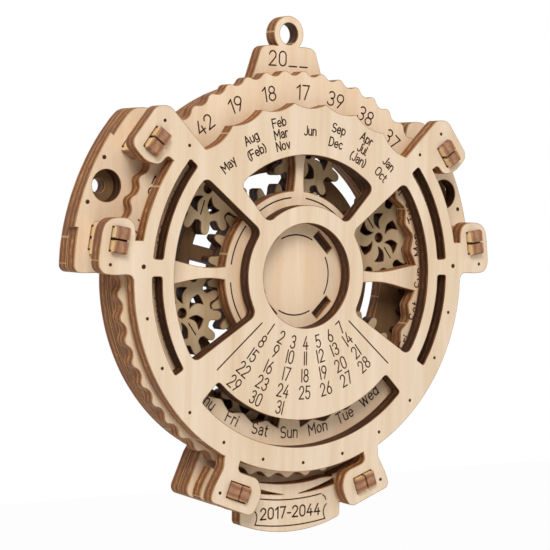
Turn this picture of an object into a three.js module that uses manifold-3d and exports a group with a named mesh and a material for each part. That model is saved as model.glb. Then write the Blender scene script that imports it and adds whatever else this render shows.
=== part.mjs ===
// Perpetual calendar with a planetary year wheel, cut from plywood board. Millimetres.
// Seen from the front, +X is right, +Z is up and +Y runs back to the wall.
// The origin is the centre of the hanging eye, in the plane of the back face.

import * as THREE from 'three';
import { mergeVertices } from 'three/addons/utils/BufferGeometryUtils.js';
import Module from 'manifold-3d';

const wasm = await Module();
wasm.setup();

// Boards, gaps and fits
const boardThickness = 3;
const layerGap = 1.1;
const seatGap = 0.3;
const slotClearance = 0.2;
const runningClearance = 0.4;
const cutOverrun = 1;
const curveTolerance = 0.05;

// Dial of the front plate: radii from the dial axis, angles from +X, counter-clockwise
const dialRadius = 39.75;
const hubWindowRadius = 10.5;
const centreRingWidth = 3.6;
const topWindowEdgeAngle = 47.7;
const sideRimWidth = 8.85;
const sideWindowUpperAngle = 38.4;
const sideWindowLowerAngle = -32.5;
const windowCornerSetback = 1.8;
const weekdayRimWidth = 5.4;
const weekdayWindowWidth = 5.45;
const weekdayCornerSetback = 0.8;
const yearSlotRimWidth = 4;
const yearSlotWidth = 2.2;
const yearSlotCornerSetback = 0.5;
const upperYearSlotAngles = [5.5, 39];
const lowerYearSlotAngles = [-32, 0];
const monthBandDrop = 6.35;
const monthBandWidth = 9.3;
const monthCuspRise = 1.1;
const monthScallopCount = 7;
const scallopSteps = 6;
const lowerRimCut = 0.45;
const lowerCutHalfAngle = 24.7;
const sideRimCut = 1.3;
const sideRimCutTopAngle = 35;

// Year wheel
const yearCount = 28;
const wheelRestAngle = -1.4;
const wheelProud = 1.2;
const wheelToothHeight = 0.85;
const wheelTeethPerYear = 2;
const wheelRimWidth = 11.1;
const wheelRimScallopDepth = 1.1;
const wheelRimScallopSteps = 4;
const wheelHubRadius = 16.9;
const spokeCount = 4;
const spokeWaist = 2.1;
const spokeFlare = 1.6;
const spokeHubFlare = 0.25;

// Planetary gears: all share one tooth pitch
const ringRimWidth = 5.7;
const frameFootReach = 7.2;
const sunTeeth = 24;
const planetTeeth = 12;
const planetCount = 6;
const firstPlanetAngle = 17.5;
const planetToothAngle = -4;
const sunAddendum = 1.6;
const sunDedendum = 1;
const planetAddendum = 0.75;
const planetDedendum = 1.8;
const ringAddendum = 1.6;
const ringDedendum = 1;
const crescentInnerRadius = 1.9;
const crescentRimWidth = 3.3;
const crescentBulge = 0.7;
const crescentHollow = 0.65;
const crescentCount = 6;
const crescentAngle = 25.5;
const crescentLead = 19.8;
const crescentTrail = 6.3;
const turnedOverPlanet = 2;

// Hub stack and carrier
const planetPinRadius = 0.7;
const pinRecess = 1.2;
const keyCount = 4;
const firstKeyAngle = 45;
const keyBossMargin = 1.75;
const keyLength = 4.5;
const keyThickness = 1.3;
const keyRecess = 1;
const hubBossRadius = 11.1;
const hubBossRecess = 0.4;
const carrierSpokeReach = 5.7;
const carrierRimWidth = 2.8;
const carrierRimInset = 1.7;
const carrierSpokeCount = 3;
const carrierSpokeAngle = 47.5;
const carrierSpokeWidth = 3;
const carrierEarReach = 1.8;
const carrierEarWidth = 5.2;

// Rear frame
const frameInset = 1.65;
const earReach = 4.5;
const earFoot = 0.4;
const earTopMargin = 6.77;
const earInnerMargin = 4.1;
const earCornerSetback = 1.8;
const earOutset = 0.8;
const earStepDrop = 2.1;
const earStepBelowTop = 5.5;
const earHoleOutset = 1.12;
const earHoleAngle = 22.4;
const earHoleRadius = 3.1;
const earPilotRadius = 1.5;
const eyeOuterRadius = 3.6;
const eyeSink = 1.05;
const eyeHoleRadius = 2.2;
const eyeTabFootWidth = 18.8;
const eyeTabTopWidth = 12.9;
const eyeTabRise = 6.85;
const eyeTabCornerSetback = 1.6;

// Clips and the tabs that they pass through
const clipProngWidth = 4.3;
const clipShoulderWidth = 6.4;
const clipHeadWidth = 5;
const clipHeadLength = 1.5;
const lowerClipHeadLength = 0.9;
const clipHeadChamfer = 0.35;
const clipSlitWidth = 0.4;
const clipRearRecess = 0.3;
const sideClipGap = 1.2;
const sideClipAngle = 9.1;
const upperClipGap = 1.2;
const upperClipAngle = 35.8;
const lowerClipGap = 2.65;
const lowerClipAngle = -70;
const sideTabMargin = 3.75;
const sideTabInnerMargin = 3.6;
const sideTabFoot = 0.4;
const sideTabTopMargin = 4.2;
const sideTabCornerSetback = 2.8;
const sideTabFootFillet = 1.5;
const sideNotchDepth = 4.25;
const armMargin = 2.15;
const tabSize = 7.5;
const tabCornerSetback = 1.8;
const blockCornerSetback = 2;

// Corners of the tabs and blocks, in shares of the tab size, from the clip: across, outwards
const upperTabShares = [[0.75, 0.53], [-0.47, 0.56], [-0.58, -0.08], [-0.4, -0.45], [-0.06, -0.47]];
const lowerTabShares = [
  [0.73, -0.67], [0.66, -0.48], [0.77, 0.12], [0.75, 0.47], [-0.67, 0.49],
  [-0.75, -0.14], [-0.5, -0.51], [0.24, -0.5], [0.22, -0.95],
];
const lowerBlockShares = [[0.78, -0.9], [0.86, 0.48], [-0.8, 0.46], [-0.85, -0.2], [-0.8, -0.9]];

// Plaque under the dial
const plaqueWheelGap = 1.35;
const plaqueEndSetback = 3.15;
const plaqueShoulderDrop = 3.2;
const plaqueSideDrop = 7.5;
const plaqueDrop = 9.75;
const plaqueCornerSetback = 0.8;
const plaqueSlotTipAngle = 2.2;
const plaqueSlotEndAngle = 14.3;
const plaqueSlotWidth = 1.3;
const plaqueSlotDrop = 2.15;

// Tooth flanks: shares of the pitch angle from the tooth's middle, shares of its height
const planetFlankShares = [[0.08, 1], [0.165, 0.88], [0.22, 0.68], [0.285, 0.14], [0.4, 0.02]];
const sunFlankShares = [[0.07, 1], [0.145, 0.82], [0.215, 0.4], [0.29, 0.08]];
const ringFlankShares = [[0.07, 1], [0.145, 0.82], [0.215, 0.4], [0.3, 0.08]];
const wheelFlankShares = [[0.1, 1], [0.25, 0.45], [0.37, 0.1], [0.5, 0]];

// Places of the layers: each is the back face of a board
const backPlateY = 0;
const ringFrameY = backPlateY - boardThickness - seatGap;
const wheelY = ringFrameY - boardThickness - layerGap;
const frontPlateY = wheelY - boardThickness - layerGap;
const dialFaceY = frontPlateY - boardThickness;

const centreRingRadius = hubWindowRadius + centreRingWidth;
const sideWindowRadius = dialRadius - sideRimWidth;
const weekdayWindowOuterRadius = dialRadius - weekdayRimWidth;
const weekdayWindowInnerRadius = weekdayWindowOuterRadius - weekdayWindowWidth;
const yearSlotOuterRadius = dialRadius - yearSlotRimWidth;
const yearSlotInnerRadius = yearSlotOuterRadius - yearSlotWidth;
const monthScallopRadius = dialRadius - monthBandDrop;
const topWindowRadius = monthScallopRadius - monthBandWidth;
const lowerRimRadius = dialRadius - lowerRimCut;
const wheelTipRadius = dialRadius + wheelProud;
const wheelRootRadius = wheelTipRadius - wheelToothHeight;
const wheelRimInnerRadius = wheelTipRadius - wheelRimWidth;
const frameRadius = wheelTipRadius - frameInset;
const sideRimRadius = dialRadius - sideRimCut;

// Clips stand just clear of the wheel's teeth
const clipPlace = (gap, angle, head) => (
  { radius: wheelTipRadius + gap + boardThickness / 2, angle, head }
);
const sideClip = clipPlace(sideClipGap, sideClipAngle, clipHeadLength);
const upperClip = clipPlace(upperClipGap, upperClipAngle, clipHeadLength);
const lowerClip = clipPlace(lowerClipGap, lowerClipAngle, lowerClipHeadLength);
const armReach = upperClip.radius + armMargin;
const sideTabReach = sideClip.radius + sideTabMargin;
const clipX = (clip) => clip.radius * Math.cos(THREE.MathUtils.degToRad(clip.angle));
const clipZ = (clip) => clip.radius * Math.sin(THREE.MathUtils.degToRad(clip.angle));
const sideTabTop = clipZ(sideClip) + sideTabTopMargin;
const sideTabInner = clipX(sideClip) - sideTabInnerMargin;
const sideNotchFoot = sideTabTop - sideNotchDepth;
const earRadius = upperClip.radius + earReach;
const earTop = clipZ(upperClip) + earTopMargin;
const earTopInner = clipX(upperClip) - earInnerMargin;
const earOutsetFoot = sideTabTop - earStepDrop;
const earOutsetTop = earTop - earStepBelowTop;
const plaqueInnerRadius = wheelTipRadius + plaqueWheelGap;
const plaqueHalfWidth = clipX(lowerClip) - plaqueEndSetback;
const plaqueSideTop = plaqueInnerRadius + plaqueShoulderDrop;
const plaqueSideBottom = plaqueInnerRadius + plaqueSideDrop;
const plaqueBottom = plaqueInnerRadius + plaqueDrop;
const plaqueSlotRadius = plaqueInnerRadius + plaqueSlotDrop;
const eyeTabTop = frameRadius + eyeTabRise;
const eyeHeight = eyeTabTop + eyeOuterRadius - eyeSink;

const ringTeeth = sunTeeth + 2 * planetTeeth;
const toothModule = 2 * (frameRadius - ringRimWidth) / ringTeeth;
const planetPitchRadius = toothModule * planetTeeth / 2;
const sunPitchRadius = toothModule * sunTeeth / 2;
const orbitRadius = sunPitchRadius + planetPitchRadius;
const ringPitchRadius = orbitRadius + planetPitchRadius;
const backOpeningRadius = orbitRadius + carrierEarReach + runningClearance;
const crescentOuterRadius = planetPitchRadius - crescentRimWidth;
const keyPlaceRadius = hubBossRadius - keyBossMargin;
const carrierRimOuterRadius = orbitRadius - carrierRimInset;
const carrierRimInnerRadius = carrierRimOuterRadius - carrierRimWidth;
const carrierHubRadius = carrierRimInnerRadius - carrierSpokeReach;

const colours = {
  face: '#e6cda6',
  wheel: '#dcc096',
  gear: '#b48c5e',
  inner: '#a87f53',
  clip: '#c48a52',
  pin: '#8a6a45',
};

const material = (colour) => (
  new THREE.MeshStandardMaterial({ color: colour, roughness: 0.75, metalness: 0 })
);

const radians = (degrees) => degrees * Math.PI / 180;

/** Point at a radius and an angle round a centre. */
function polar(radius, degrees, centre = new THREE.Vector2()) {
  return new THREE.Vector2(Math.cos(radians(degrees)), Math.sin(radians(degrees)))
    .multiplyScalar(radius)
    .add(centre);
}

/** Points along an arc, as many as keep its chords within the curve tolerance. */
function arc(radius, from, to, centre) {
  const stepAngle = THREE.MathUtils.radToDeg(2 * Math.acos(1 - curveTolerance / radius));
  const steps = Math.max(1, Math.ceil(Math.abs(to - from) / stepAngle));
  return Array.from({ length: steps + 1 }, (_, i) => polar(radius, from + (to - from) * i / steps, centre));
}

const circle = (radius, centre) => arc(radius, 0, 360, centre).slice(0, -1);

/** Angle at which a circle round the dial axis reaches a height. */
const angleAt = (radius, height) => THREE.MathUtils.radToDeg(Math.asin(height / radius));

const mirrored = (outline) => outline.map((point) => new THREE.Vector2(-point.x, point.y)).reverse();

/** Point given across and outwards from a place on a circle round the dial axis. */
function localPoint({ radius, angle }, across, outwards) {
  return polar(radius + outwards, angle).add(polar(across, angle + 90));
}

const tabPoints = (place, shares) => shares.map(
  ([across, out]) => localPoint(place, across * tabSize, out * tabSize),
);

/** Rectangle round a place, its length across and its width outwards. */
function slot(place, length, width) {
  const corners = [[-1, -1], [-1, 1], [1, 1], [1, -1]];
  return corners.map(([side, end]) => localPoint(place, side * length / 2, end * width / 2));
}

/** Marks a point as a corner that is rounded off from a setback along both sides. */
const corner = (point, setback) => Object.assign(point.clone(), { setback });

/** Walks along a closed outline from one of its points and returns the point after a distance. */
function walk(outline, start, direction, distance) {
  let from = outline[start];
  let left = distance;
  for (let i = 1; i < outline.length; i += 1) {
    const index = (start + direction * i + outline.length * 2) % outline.length;
    const next = outline[index];
    const length = from.distanceTo(next);
    if (length >= left) return { point: from.clone().lerp(next, left / length), passed: i - 1 };
    left -= length;
    from = next;
  }
  return { point: from.clone(), passed: 0 };
}

/** Distance along a closed outline from one of its corners to the next one. */
function reachOf(outline, start, direction) {
  let length = 0;
  for (let i = 1; i <= outline.length; i += 1) {
    const index = (start + direction * i + outline.length * 2) % outline.length;
    length += outline[index].distanceTo(outline[(index - direction + outline.length) % outline.length]);
    if (outline[index].setback) return length;
  }
  return length;
}

/** Rounds the marked corners of a closed outline, each within the walls beside it. */
function rounded(outline, steps = 3) {
  const dropped = new Set();
  const curves = new Map();
  outline.forEach((point, index) => {
    if (!point.setback) return;
    const wall = Math.min(reachOf(outline, index, -1), reachOf(outline, index, 1));
    const setback = Math.min(point.setback, wall * 0.45);
    const before = walk(outline, index, -1, setback);
    const after = walk(outline, index, 1, setback);
    for (let i = 1; i <= before.passed; i += 1) dropped.add((index - i + outline.length) % outline.length);
    for (let i = 1; i <= after.passed; i += 1) dropped.add((index + i) % outline.length);
    curves.set(index, new THREE.QuadraticBezierCurve(before.point, point, after.point).getPoints(steps));
  });
  return outline.flatMap((point, index) => {
    if (curves.has(index)) return curves.get(index);
    return dropped.has(index) ? [] : [point];
  });
}

/** Closed solid from a geometry, for joining and cutting. */
function toSolid(geometry) {
  geometry.deleteAttribute('normal');
  geometry.deleteAttribute('uv');
  const merged = mergeVertices(geometry, curveTolerance / 100);
  return new wasm.Manifold(new wasm.Mesh({
    numProp: 3,
    vertProperties: new Float32Array(merged.attributes.position.array),
    triVerts: new Uint32Array(merged.index.array),
  }));
}

/** Board of an outline in the dial's plane, from its back face forwards. */
function board(outline, { holes = [], thickness = boardThickness, back = 0 } = {}) {
  const shape = new THREE.Shape(outline);
  shape.holes = holes.map((hole) => new THREE.Path(hole));
  const geometry = new THREE.ExtrudeGeometry(shape, { depth: thickness, bevelEnabled: false });
  geometry.rotateX(Math.PI / 2);
  geometry.translate(0, back, 0);
  return toSolid(geometry);
}

/** Cutter that goes right through a board. */
const through = (outline) => (
  board(outline, { thickness: boardThickness + 2 * cutOverrun, back: cutOverrun })
);

const join = (solids) => solids.reduce((sum, solid) => sum.add(solid));

const cut = (solid, outlines) => outlines.reduce((rest, outline) => rest.subtract(through(outline)), solid);

/** Named mesh of a solid. */
function piece(name, solid, colour, y = 0) {
  const { vertProperties, triVerts } = solid.getMesh();
  const geometry = new THREE.BufferGeometry();
  geometry.setAttribute('position', new THREE.BufferAttribute(vertProperties, 3));
  geometry.setIndex(new THREE.BufferAttribute(triVerts, 1));
  geometry.computeVertexNormals();
  const mesh = new THREE.Mesh(geometry, material(colour));
  mesh.name = name;
  mesh.position.y = y;
  return mesh;
}

const opposite = (clip) => ({ ...clip, angle: 180 - clip.angle });

const clipPlaces = {
  left: opposite(sideClip),
  right: sideClip,
  upper_left: opposite(upperClip),
  upper_right: upperClip,
  lower_left: opposite(lowerClip),
  lower_right: lowerClip,
};

const clipSlots = Object.values(clipPlaces).map((place) => slot(
  place,
  clipProngWidth + 2 * slotClearance,
  boardThickness + 2 * slotClearance,
));

/** Ring sector with rounded corners. */
function sector(inner, outer, from, to, setback) {
  const outside = arc(outer, from, to);
  const inside = arc(inner, to, from);
  const ends = [outside[0], outside.at(-1), inside[0], inside.at(-1)];
  const outline = [...outside, ...inside];
  return rounded(outline.map((point) => (ends.includes(point) ? corner(point, setback) : point)));
}

/** Region beyond the scalloped upper edge of the month band. */
function monthBandCut() {
  const halfAngle = monthScallopCount / 2 * 360 / yearCount;
  const steps = monthScallopCount * scallopSteps;
  const edge = Array.from({ length: steps + 1 }, (_, i) => {
    const fromMiddle = 1 - 2 * (i % scallopSteps) / scallopSteps;
    const radius = monthScallopRadius + monthCuspRise * fromMiddle ** 2;
    return polar(radius, 90 - halfAngle + 2 * halfAngle * i / steps);
  });
  return [...arc(dialRadius + cutOverrun, 90 + halfAngle, 90 - halfAngle), ...edge].reverse();
}

const lowerTabOutline = rounded(
  [
    ...tabPoints(lowerClip, lowerTabShares).map((point) => corner(point, tabCornerSetback)),
    polar(lowerRimRadius, lowerCutHalfAngle - 90),
    polar(weekdayWindowOuterRadius, lowerClip.angle + 10),
  ].reverse(),
);

function upperTabOutline() {
  const points = tabPoints(upperClip, upperTabShares).map((point) => corner(point, tabCornerSetback));
  return rounded([
    polar(monthScallopRadius, 45),
    polar(sideRimRadius - cutOverrun, sideRimCutTopAngle),
    ...points.reverse(),
    corner(polar(armReach, 45), tabCornerSetback / 2),
  ]);
}

/** Side tab, with its inner wall standing clear of the rim above the notch's foot. */
function sideTabOutline() {
  const from = angleAt(sideTabReach, sideTabFoot);
  const to = angleAt(sideTabReach, sideTabTop);
  const end = arc(sideTabReach, from, to);
  const root = sideRimRadius - cutOverrun;
  return rounded([
    new THREE.Vector2(root, sideNotchFoot),
    new THREE.Vector2(root, -sideTabFootFillet * 2),
    polar(dialRadius, angleAt(dialRadius, -sideTabFootFillet * 2)),
    corner(new THREE.Vector2(dialRadius, sideTabFoot), sideTabFootFillet),
    corner(end[0], sideTabCornerSetback),
    ...end.slice(1, -1),
    corner(end.at(-1), sideTabCornerSetback),
    corner(new THREE.Vector2(sideTabInner, sideTabTop), sideTabCornerSetback),
    new THREE.Vector2(sideTabInner, sideNotchFoot),
  ]);
}

function frontPlate() {
  const lowerCut = sector(
    lowerRimRadius,
    dialRadius + cutOverrun,
    -90 - lowerCutHalfAngle,
    -90 + lowerCutHalfAngle,
    0,
  );
  const sideCut = sector(
    sideRimRadius,
    dialRadius + cutOverrun,
    angleAt(dialRadius, sideNotchFoot),
    sideRimCutTopAngle,
    0,
  );
  const disc = cut(board(circle(dialRadius)), [monthBandCut(), lowerCut, sideCut, mirrored(sideCut)]);
  const tabs = [lowerTabOutline, upperTabOutline(), sideTabOutline()];
  const body = join([disc, ...tabs.map((tab) => board(tab)), ...tabs.map((tab) => board(mirrored(tab)))]);
  const sideWindow = sector(
    centreRingRadius,
    sideWindowRadius,
    sideWindowLowerAngle,
    sideWindowUpperAngle,
    windowCornerSetback,
  );
  const topWindow = sector(
    centreRingRadius,
    topWindowRadius,
    topWindowEdgeAngle,
    180 - topWindowEdgeAngle,
    windowCornerSetback,
  );
  const weekdayWindow = sector(
    weekdayWindowInnerRadius,
    weekdayWindowOuterRadius,
    225,
    315,
    weekdayCornerSetback,
  );
  const yearSlots = [upperYearSlotAngles, lowerYearSlotAngles].map(([from, to]) => sector(
    yearSlotInnerRadius,
    yearSlotOuterRadius,
    from,
    to,
    yearSlotCornerSetback,
  ));
  const sided = [sideWindow, ...yearSlots];
  return cut(body, [
    circle(hubWindowRadius),
    topWindow,
    weekdayWindow,
    ...sided,
    ...sided.map(mirrored),
    ...clipSlots,
  ]);
}

/** Outline of a gear: the flank shares run from the tooth's middle to the gap's. */
function gearOutline(teeth, rootRadius, tipRadius, flankShares, toothAngle) {
  const pitch = 360 / teeth;
  const middle = flankShares.filter(([turn]) => turn < 0.5);
  const profile = [...middle.map(([turn, height]) => [-turn, height]).reverse(), ...flankShares];
  return Array.from({ length: teeth }, (_, i) => profile.map(([turn, height]) => polar(
    rootRadius + (tipRadius - rootRadius) * height,
    toothAngle + (i + turn) * pitch,
  ))).flat();
}

const keyPlaces = Array.from({ length: keyCount }, (_, i) => ({
  radius: keyPlaceRadius,
  angle: firstKeyAngle + i * 360 / keyCount,
}));

const keySlots = keyPlaces.map((place) => slot(
  place,
  keyLength + 2 * slotClearance,
  keyThickness + 2 * slotClearance,
));

/** Window of the year wheel between two spokes; its rim side is scalloped once a year. */
function wheelWindow(index) {
  const spokePitch = 360 / spokeCount;
  const yearsPerWindow = yearCount / spokeCount;
  const waistShares = [[0.25, 0], [0.42, 0.06], [0.58, 0.25], [0.82, 0.66]];
  const reach = wheelRimInnerRadius - wheelHubRadius;
  const side = (angle, sign) => waistShares.map(([along, flare]) => localPoint(
    { radius: wheelHubRadius + along * reach, angle },
    sign * (spokeWaist + 2 * spokeFlare * flare) / 2,
    0,
  ));
  const first = wheelRestAngle + index * spokePitch;
  const last = first + spokePitch;
  const steps = yearsPerWindow * wheelRimScallopSteps;
  const edge = THREE.MathUtils.radToDeg((spokeWaist / 2 + spokeFlare) / wheelRimInnerRadius);
  const rim = Array.from({ length: steps + 1 }, (_, i) => {
    const share = i / steps;
    const depth = wheelRimScallopDepth * (1 + Math.cos(2 * Math.PI * share * yearsPerWindow)) / 2;
    return polar(wheelRimInnerRadius + depth, first + edge + (spokePitch - 2 * edge) * share);
  });
  const hubEdge = THREE.MathUtils.radToDeg((spokeWaist / 2 + spokeHubFlare) / wheelHubRadius);
  return [
    ...side(first, 1),
    ...rim,
    ...side(last, -1).reverse(),
    ...arc(wheelHubRadius, last - hubEdge, first + hubEdge),
  ];
}

function yearWheel() {
  const toothCount = yearCount * wheelTeethPerYear;
  const outline = gearOutline(toothCount, wheelRootRadius, wheelTipRadius, wheelFlankShares, wheelRestAngle);
  const windows = Array.from({ length: spokeCount }, (_, i) => wheelWindow(i));
  return board(outline, { holes: [...windows, ...keySlots] });
}

function sunGear() {
  const planetGap = firstPlanetAngle - (planetToothAngle - firstPlanetAngle - 180) * planetTeeth / sunTeeth;
  const outline = gearOutline(
    sunTeeth,
    sunPitchRadius - sunDedendum,
    sunPitchRadius + sunAddendum,
    [...sunFlankShares, [0.5, 0]],
    planetGap + 180 / sunTeeth,
  );
  return board(outline, { holes: keySlots });
}

const hubDisc = (radius, thickness) => board(circle(radius), { holes: keySlots, thickness });

/** Crescent cut-out: a pointed foot at the pin, a bulged and a hollow side, and a broad round end. */
function crescent(angle) {
  const foot = polar(crescentInnerRadius, angle);
  const side = (turn, height) => {
    const end = polar(crescentOuterRadius, angle + turn);
    const across = end.clone().sub(foot).rotateAround(new THREE.Vector2(), Math.PI / 2).normalize();
    return [0.25, 0.5, 0.75].map((share) => foot.clone()
      .lerp(end, share)
      .addScaledVector(across, height * Math.sin(Math.PI * share)));
  };
  return [
    foot,
    ...side(-crescentTrail, crescentHollow),
    ...arc(crescentOuterRadius, angle - crescentTrail, angle + crescentLead),
    ...side(crescentLead, crescentBulge).reverse(),
  ];
}

/** The same outline on a gear turned over about the middle of a tooth gap, so that its teeth stay put. */
function turnedOver(points) {
  const centre = new THREE.Vector2();
  const angle = THREE.MathUtils.degToRad(planetToothAngle + 180 / planetTeeth);
  return points.map((point) => {
    const level = point.clone().rotateAround(centre, -angle);
    return level.setY(-level.y).rotateAround(centre, angle);
  }).reverse();
}

function planetGear(isTurnedOver) {
  const outline = gearOutline(
    planetTeeth,
    planetPitchRadius - planetDedendum,
    planetPitchRadius + planetAddendum,
    planetFlankShares,
    planetToothAngle,
  );
  const crescents = Array.from(
    { length: crescentCount },
    (_, i) => crescent(crescentAngle + i * 360 / crescentCount),
  );
  const cutouts = isTurnedOver ? crescents.map(turnedOver) : crescents;
  return board(outline, { holes: [circle(planetPinRadius + seatGap), ...cutouts] });
}

const planetAngles = Array.from({ length: planetCount }, (_, i) => firstPlanetAngle + i * 360 / planetCount);

function planetCarrier() {
  const ears = planetAngles.map((angle) => {
    const end = { radius: orbitRadius, angle };
    const root = { radius: carrierHubRadius, angle };
    return board(rounded([
      localPoint(root, -carrierEarWidth / 2, carrierRimInnerRadius - carrierHubRadius + cutOverrun),
      corner(localPoint(end, -carrierEarWidth / 2, carrierEarReach), carrierEarReach),
      corner(localPoint(end, carrierEarWidth / 2, carrierEarReach), carrierEarReach),
      localPoint(root, carrierEarWidth / 2, carrierRimInnerRadius - carrierHubRadius + cutOverrun),
    ].reverse()));
  });
  const windows = Array.from({ length: carrierSpokeCount }, (_, i) => {
    const from = carrierSpokeAngle + i * 360 / carrierSpokeCount;
    const to = from + 360 / carrierSpokeCount;
    const clear = (radius) => THREE.MathUtils.radToDeg(Math.asin(carrierSpokeWidth / 2 / radius));
    return [
      ...arc(carrierRimInnerRadius, from + clear(carrierRimInnerRadius), to - clear(carrierRimInnerRadius)),
      ...arc(carrierHubRadius, to - clear(carrierHubRadius), from + clear(carrierHubRadius)),
    ];
  });
  const pinHoles = planetAngles.map((angle) => circle(planetPinRadius + seatGap, polar(orbitRadius, angle)));
  return cut(join([board(circle(carrierRimOuterRadius)), ...ears]), [
    circle(hubBossRadius + runningClearance),
    ...windows,
    ...pinHoles,
  ]);
}

/** Ear of the rear frame; the outset stretch stands out between its foot and its top. */
function earOutline(outset) {
  const lowest = polar(earRadius, angleAt(earRadius, earFoot));
  const highest = polar(earRadius, angleAt(earRadius, earTop));
  const outer = outset
    ? [
      ...arc(earRadius, angleAt(earRadius, earFoot), angleAt(earRadius, earOutsetFoot)).slice(1),
      ...arc(earRadius + outset, angleAt(earRadius, earOutsetFoot), angleAt(earRadius, earOutsetTop)),
      ...arc(earRadius, angleAt(earRadius, earOutsetTop), angleAt(earRadius, earTop)).slice(0, -1),
    ]
    : arc(earRadius, angleAt(earRadius, earFoot), angleAt(earRadius, earTop)).slice(1, -1);
  return rounded([
    new THREE.Vector2(earTopInner, earFoot),
    corner(lowest, earCornerSetback),
    ...outer,
    corner(highest, earCornerSetback),
    corner(new THREE.Vector2(earTopInner, earTop), earCornerSetback),
    polar(frameRadius - cutOverrun, 40),
  ]);
}

/** Tab with the hanging eye, on the front board of the rear frame alone. */
function eyeTab() {
  const foot = frameRadius - 2 * cutOverrun;
  const centre = new THREE.Vector2(0, eyeHeight);
  const tab = rounded([
    new THREE.Vector2(-eyeTabFootWidth / 2, foot),
    new THREE.Vector2(eyeTabFootWidth / 2, foot),
    corner(new THREE.Vector2(eyeTabTopWidth / 2, eyeTabTop), eyeTabCornerSetback),
    corner(new THREE.Vector2(-eyeTabTopWidth / 2, eyeTabTop), eyeTabCornerSetback),
  ]);
  return cut(join([board(tab), board(circle(eyeOuterRadius, centre))]), [circle(eyeHoleRadius, centre)]);
}

function frameBoard({ outset, earHole, opening }) {
  const ear = earOutline(outset);
  const block = rounded([
    ...tabPoints(lowerClip, lowerBlockShares).map((point) => corner(point, blockCornerSetback)),
    polar(ringPitchRadius + ringDedendum + cutOverrun, lowerClip.angle),
  ].reverse());
  const foot = [
    ...arc(frameRadius + frameFootReach, -180 - lowerClip.angle, lowerClip.angle),
    ...arc(ringPitchRadius + ringDedendum + cutOverrun, lowerClip.angle, -180 - lowerClip.angle),
  ];
  const outlines = [ear, mirrored(ear), block, mirrored(block), foot];
  const body = join([board(circle(frameRadius)), ...outlines.map((outline) => board(outline))]);
  const earHoles = [earHoleAngle, 180 - earHoleAngle].map(
    (angle) => circle(earHole, polar(sideClip.radius + earHoleOutset, angle)),
  );
  return cut(body, [opening, ...earHoles, ...clipSlots]);
}

function ringFrame() {
  const planetGap = firstPlanetAngle + (planetToothAngle - firstPlanetAngle) * planetTeeth / ringTeeth;
  const opening = gearOutline(
    ringTeeth,
    ringPitchRadius + ringDedendum,
    ringPitchRadius - ringAddendum,
    [...ringFlankShares, [0.5, 0]],
    planetGap + 180 / ringTeeth,
  );
  return join([frameBoard({ outset: earOutset, earHole: earHoleRadius, opening }), eyeTab()]);
}

function backPlate() {
  return frameBoard({ outset: 0, earHole: earPilotRadius, opening: circle(backOpeningRadius) });
}

/** Tapered slot of the plaque, pointed at its inner end. */
function plaqueSlot() {
  const outside = arc(plaqueSlotRadius, plaqueSlotTipAngle - 90, plaqueSlotEndAngle - 90);
  const taper = plaqueSlotWidth / (outside.length - 1);
  const inside = outside.map((point, i) => point.clone().setLength(plaqueSlotRadius - taper * i));
  return [...outside, ...inside.slice(1).reverse()];
}

function plaquePlate() {
  const sag = plaqueBottom - plaqueSideBottom;
  const bottomRadius = (plaqueHalfWidth ** 2 + sag ** 2) / (2 * sag);
  const centre = new THREE.Vector2(0, bottomRadius - plaqueBottom);
  const half = THREE.MathUtils.radToDeg(Math.asin(plaqueHalfWidth / bottomRadius));
  const bottom = arc(bottomRadius, -90 - half, -90 + half, centre);
  const panel = rounded([
    new THREE.Vector2(-plaqueHalfWidth, -plaqueSideTop),
    corner(bottom[0], plaqueCornerSetback),
    ...bottom.slice(1, -1),
    corner(bottom.at(-1), plaqueCornerSetback),
    new THREE.Vector2(plaqueHalfWidth, -plaqueSideTop),
    new THREE.Vector2(plaqueHalfWidth, plaqueCornerSetback - plaqueInnerRadius),
    new THREE.Vector2(-plaqueHalfWidth, plaqueCornerSetback - plaqueInnerRadius),
  ]);
  const body = join([board(panel), board(lowerTabOutline), board(mirrored(lowerTabOutline))]);
  const shoulderSlots = [clipPlaces.lower_left, clipPlaces.lower_right].map((place) => slot(
    place,
    clipShoulderWidth + 2 * slotClearance,
    boardThickness + 2 * slotClearance,
  ));
  return cut(body, [circle(plaqueInnerRadius), ...shoulderSlots, plaqueSlot(), mirrored(plaqueSlot())]);
}

/** Double-ended clip: two pairs of prongs, and a shoulder that spaces the boards. */
function clipSolid(headLength) {
  const prong = clipProngWidth / 2;
  const shoulder = clipShoulderWidth / 2;
  const head = clipHeadWidth / 2;
  const slit = clipSlitWidth / 2;
  const tip = dialFaceY - headLength;
  const shoulderFront = frontPlateY + seatGap;
  const shoulderBack = ringFrameY - boardThickness - seatGap;
  const half = [
    [slit, -clipRearRecess],
    [prong, -clipRearRecess],
    [prong, shoulderBack],
    [shoulder, shoulderBack],
    [shoulder, shoulderFront],
    [prong, shoulderFront],
    [prong, dialFaceY - seatGap],
    [head, dialFaceY - seatGap],
    [head, tip + clipHeadChamfer],
    [head - clipHeadChamfer, tip],
    [slit, tip],
    [slit, shoulderFront],
  ].map(([x, y]) => new THREE.Vector2(x, y));
  const slitEnd = new THREE.Vector2(slit, shoulderBack);
  const outline = [slitEnd, ...half, ...mirrored([slitEnd, ...half])].reverse();
  const geometry = new THREE.ExtrudeGeometry(
    new THREE.Shape(outline),
    { depth: boardThickness, bevelEnabled: false },
  );
  geometry.translate(0, 0, -boardThickness / 2);
  return toSolid(geometry);
}

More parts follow.
